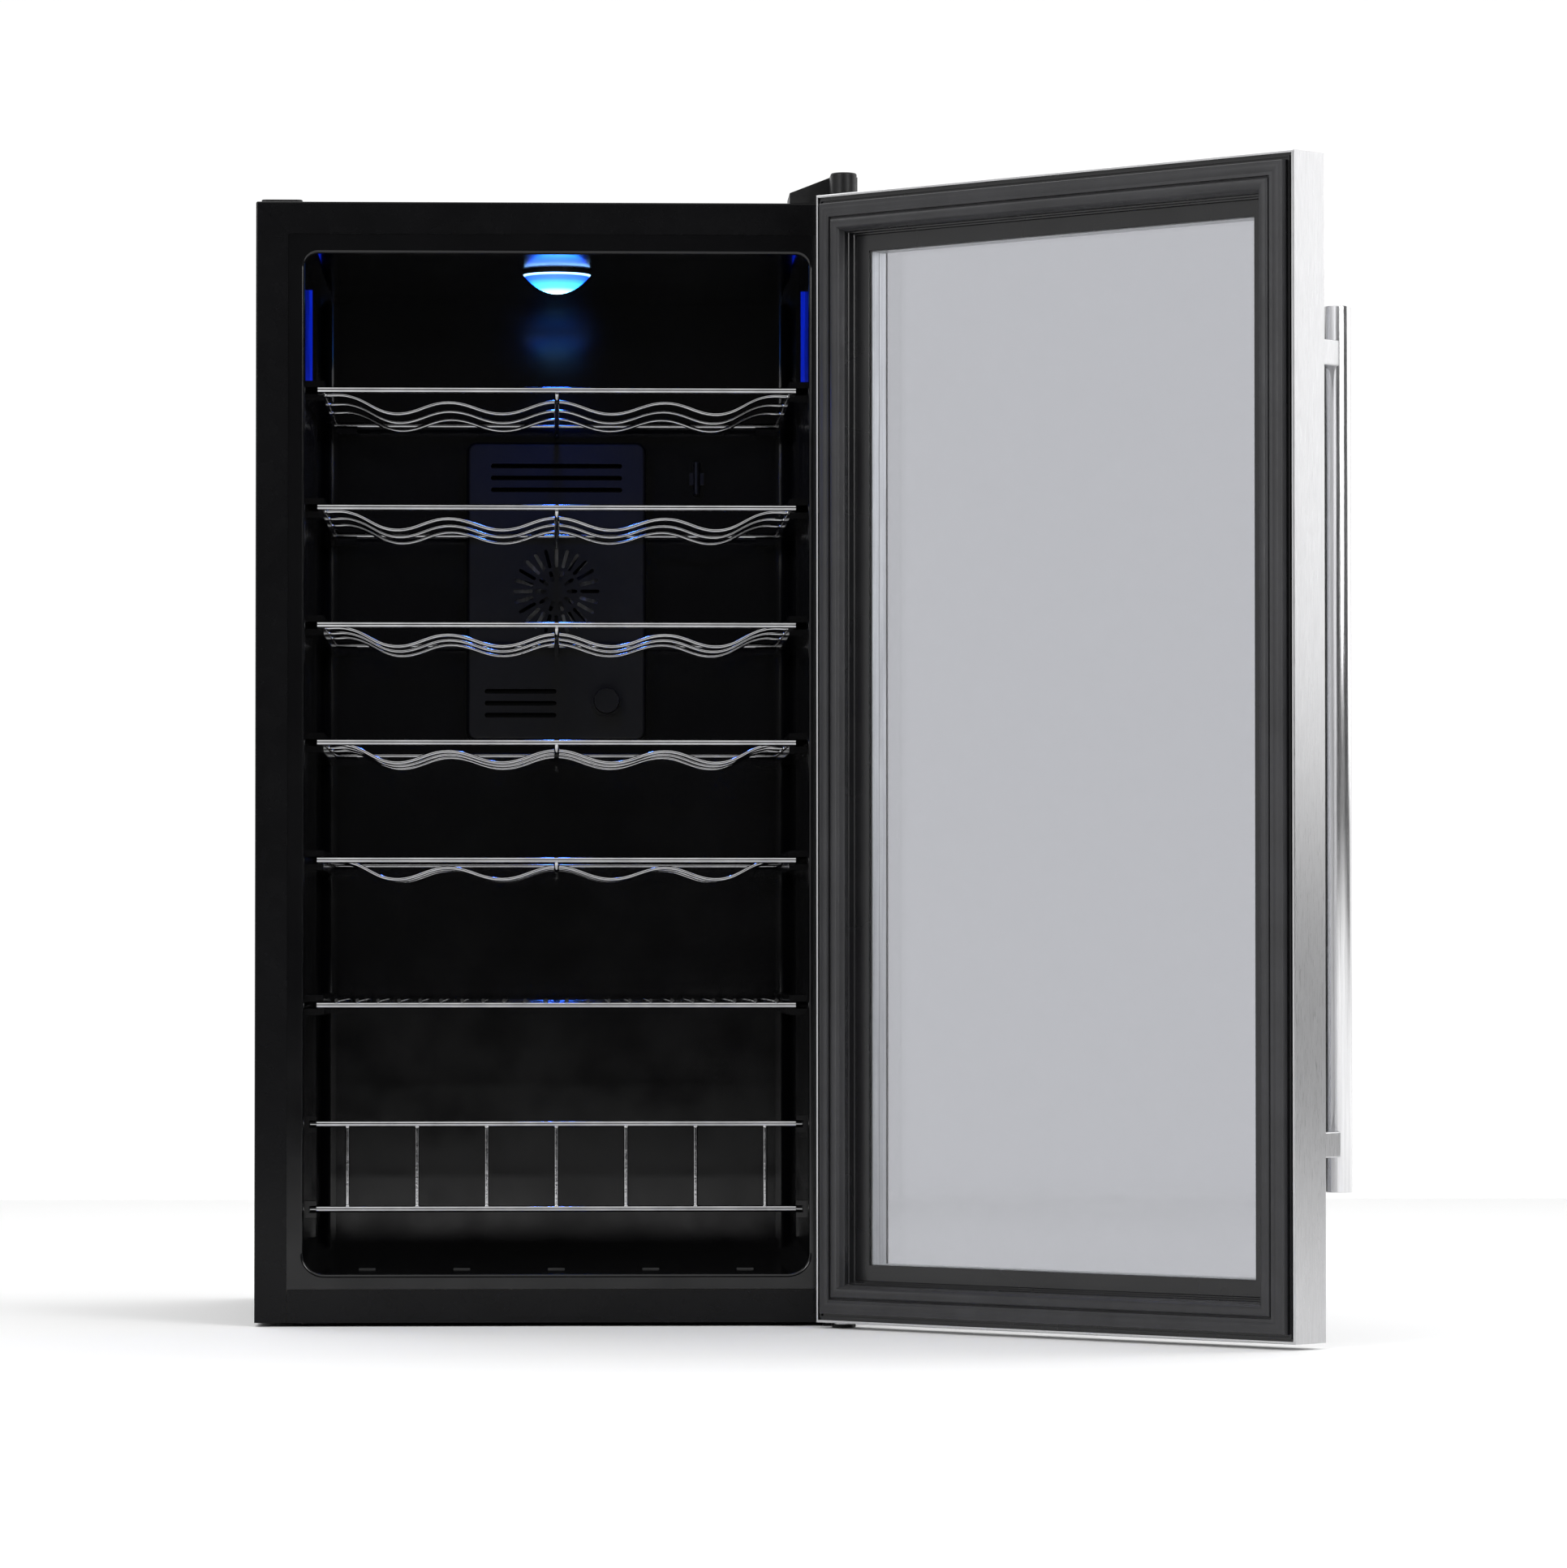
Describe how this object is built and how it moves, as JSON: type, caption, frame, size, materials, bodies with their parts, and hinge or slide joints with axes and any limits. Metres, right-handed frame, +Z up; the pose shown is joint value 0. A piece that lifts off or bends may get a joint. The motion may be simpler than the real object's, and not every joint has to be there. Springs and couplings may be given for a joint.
{
  "type": "free-standing wine cooler",
  "caption": "Free-standing upright wine cooler with a framed glass door hung on the right and standing open, wire shelves, a guard rail and a bar handle.",
  "frame": {"origin": "on the floor, under the middle of the cabinet", "axes": "+X to the right as you face the cooler, +Y from its front to its back, +Z up"},
  "size_m": [0.8247, 0.8702, 0.898],
  "materials": {
    "case_steel": "black satin paint",
    "base_steel": "zinc-plated sheet",
    "liner_plastic": "glossy black vacuum-formed plastic",
    "foam": "rigid foam, hidden",
    "black_plastic": "fine-grained black moulding",
    "rubber": "moulded rubber",
    "sink_aluminium": "extruded",
    "ceramic": "white ceramic",
    "board": "printed circuit board",
    "supply_case": "perforated sheet case",
    "lens": "translucent lens",
    "hinge_steel": "black steel plate",
    "bright_steel": "turned and plated steel",
    "stainless": "brushed stainless steel",
    "door_plastic": "black extruded plastic",
    "gasket": "dark grey soft vinyl",
    "glass": "clear toughened glass",
    "spacer_aluminium": "mill finish spacer bar",
    "chrome_wire": "chrome-plated wire"
  },
  "bodies": {
    "cabinet": {"outer_wrap": "case_steel", "kick_strip": "case_steel", "base_plate": "case_steel", "back_panel": "base_steel", "liner": "liner_plastic", "insulation_foam": "foam", "top_hinge_cover": "black_plastic", "spare_hinge_cap": "black_plastic", "rear_cover": "black_plastic", "air_duct_cover": "black_plastic", "thermostat_switch": "black_plastic", "cold_fan_frame": "black_plastic", "hot_fan_frame": "black_plastic", "power_inlet": "black_plastic", "temperature_sensor": "black_plastic", "lamp_base": "black_plastic", "rear_feet": "rubber", "hot_sink": "sink_aluminium", "cold_sink": "sink_aluminium", "conduction_block": "sink_aluminium", "peltier_module": "ceramic", "control_board": "board", "led_board": "board", "power_supply": "supply_case", "lamp_lens": "lens", "top_hinge_bracket": "hinge_steel", "bottom_hinge_bracket": "hinge_steel", "top_hinge_pin": "bright_steel", "bottom_hinge_pin": "bright_steel", "hinge_screws": "bright_steel", "back_panel_screws": "bright_steel", "rear_cover_screws": "bright_steel"},
    "door": {"door_skin": "stainless", "door_inner_frame": "door_plastic", "door_gasket": "gasket", "glazing_frame": "door_plastic", "inner_glass": "glass", "outer_glass": "glass", "glass_spacer": "spacer_aluminium", "hinge_bushes": "black_plastic", "handle_tube": "stainless", "handle_end_caps": "black_plastic", "handle_posts": "stainless", "handle_screws": "bright_steel"},
    "shelf_1": {"wave_shelf_1": "chrome_wire"},
    "shelf_2": {"wave_shelf_2": "chrome_wire"},
    "shelf_3": {"wave_shelf_3": "chrome_wire"},
    "shelf_4": {"wave_shelf_4": "chrome_wire"},
    "shelf_5": {"wave_shelf_5": "chrome_wire"},
    "shelf_6": {"flat_shelf": "chrome_wire"},
    "guard": {"guard_rail": "chrome_wire"},
    "foot_left": {"front_foot_left": "black_plastic"},
    "foot_right": {"front_foot_right": "black_plastic"},
    "cold_fan": {"cold_fan_rotor": "black_plastic"},
    "hot_fan": {"hot_fan_rotor": "black_plastic"},
    "thermostat": {"thermostat_knob": "black_plastic"}
  },
  "joints": [
    {"name": "door_hinge", "type": "hinge", "parent": "cabinet", "child": "door", "pos_m": [0.223, -0.26, 0.44], "axis": [0, 0, 1], "range_deg": [-136, 0]},
    {"name": "shelf_1_slide", "type": "slide", "parent": "cabinet", "child": "shelf_1", "axis": [0, -1, 0], "range_m": [0, 0.25]},
    {"name": "shelf_2_slide", "type": "slide", "parent": "cabinet", "child": "shelf_2", "axis": [0, -1, 0], "range_m": [0, 0.25]},
    {"name": "shelf_3_slide", "type": "slide", "parent": "cabinet", "child": "shelf_3", "axis": [0, -1, 0], "range_m": [0, 0.25]},
    {"name": "shelf_4_slide", "type": "slide", "parent": "cabinet", "child": "shelf_4", "axis": [0, -1, 0], "range_m": [0, 0.25]},
    {"name": "shelf_5_slide", "type": "slide", "parent": "cabinet", "child": "shelf_5", "axis": [0, -1, 0], "range_m": [0, 0.25]},
    {"name": "shelf_6_slide", "type": "slide", "parent": "cabinet", "child": "shelf_6", "axis": [0, -1, 0], "range_m": [0, 0.25]},
    {"name": "guard_slide", "type": "slide", "parent": "cabinet", "child": "guard", "axis": [0, -1, 0], "range_m": [0, 0.12]},
    {"name": "foot_left_screw", "type": "slide", "parent": "cabinet", "child": "foot_left", "axis": [0, 0, -1], "range_m": [0, 0.012]},
    {"name": "foot_right_screw", "type": "slide", "parent": "cabinet", "child": "foot_right", "axis": [0, 0, -1], "range_m": [0, 0.012]},
    {"name": "cold_fan_spin", "type": "hinge", "parent": "cabinet", "child": "cold_fan", "pos_m": [0, 0.177, 0.594], "axis": [0, -1, 0], "continuous": true},
    {"name": "hot_fan_spin", "type": "hinge", "parent": "cabinet", "child": "hot_fan", "pos_m": [0, 0.264, 0.594], "axis": [0, 1, 0], "continuous": true},
    {"name": "thermostat_turn", "type": "hinge", "parent": "cabinet", "child": "thermostat", "pos_m": [0.042, 0.16, 0.502], "axis": [0, -1, 0], "range_deg": [0, 270]}
  ]
}
